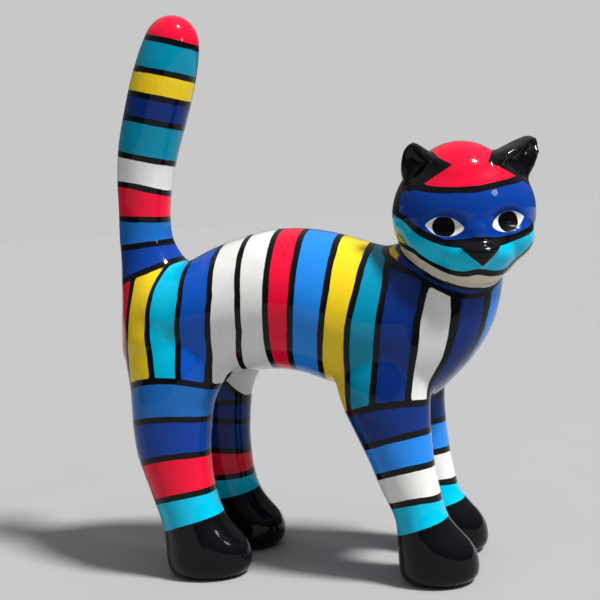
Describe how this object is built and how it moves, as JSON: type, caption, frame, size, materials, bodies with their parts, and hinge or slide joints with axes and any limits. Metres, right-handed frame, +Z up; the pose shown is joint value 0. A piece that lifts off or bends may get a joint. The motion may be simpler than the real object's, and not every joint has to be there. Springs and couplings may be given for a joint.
{
  "type": "resin cat sculpture",
  "caption": "Standing cat cast in resin as one piece, with an arched back, an upright tail, a turned head and bands of gloss paint.",
  "frame": {"origin": "middle of the bounding box, on the floor under the four paws", "axes": "+X the way the body points, +Y to the cat's left, +Z up; the head is turned to the cat's right, towards -Y"},
  "size_m": [1.0798, 0.3704, 1.4005],
  "materials": {
    "painted_resin": "gloss enamel bands in red, yellow, white, cyan and three blues, parted by black lines, with black paws and ears, under clear lacquer"
  },
  "bodies": {
    "root": {"cat": "painted_resin"}
  },
  "joints": []
}
